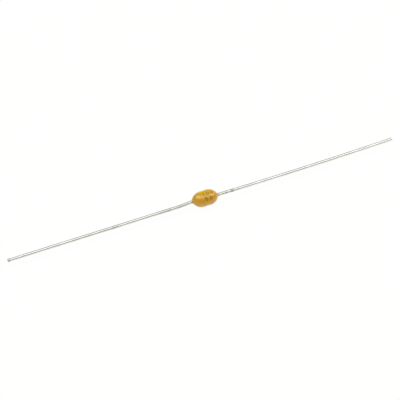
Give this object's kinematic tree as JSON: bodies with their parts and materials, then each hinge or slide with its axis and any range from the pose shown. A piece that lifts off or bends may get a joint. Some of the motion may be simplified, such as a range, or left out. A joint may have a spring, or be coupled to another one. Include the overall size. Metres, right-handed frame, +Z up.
{
  "type": "multilayer ceramic capacitor",
  "caption": "Axial-leaded ceramic capacitor: a glossy ochre epoxy bead over a layered ceramic chip, with a straight tinned wire lead leaving each end.",
  "frame": {"origin": "on the resting surface, under the middle of the body and halfway between the lead tips", "axes": "+X along the leads towards the right-hand lead's tip, +Z up from the resting surface, +Y away from the viewer of the front"},
  "size_m": [0.0634, 0.0024, 0.0023],
  "materials": {
    "epoxy": "glossy dipped epoxy",
    "ceramic": "matt fired ceramic",
    "electrode_metal": "fired metal film",
    "termination_metal": "plated satin",
    "solder": "satin solder",
    "tinned_wire": "satin tin plating"
  },
  "bodies": {
    "root": {"epoxy_coating": "epoxy", "ceramic_chip": "ceramic", "left_electrodes": "electrode_metal", "right_electrodes": "electrode_metal", "left_termination": "termination_metal", "right_termination": "termination_metal", "left_solder": "solder", "right_solder": "solder", "left_lead": "tinned_wire", "right_lead": "tinned_wire"}
  },
  "joints": []
}
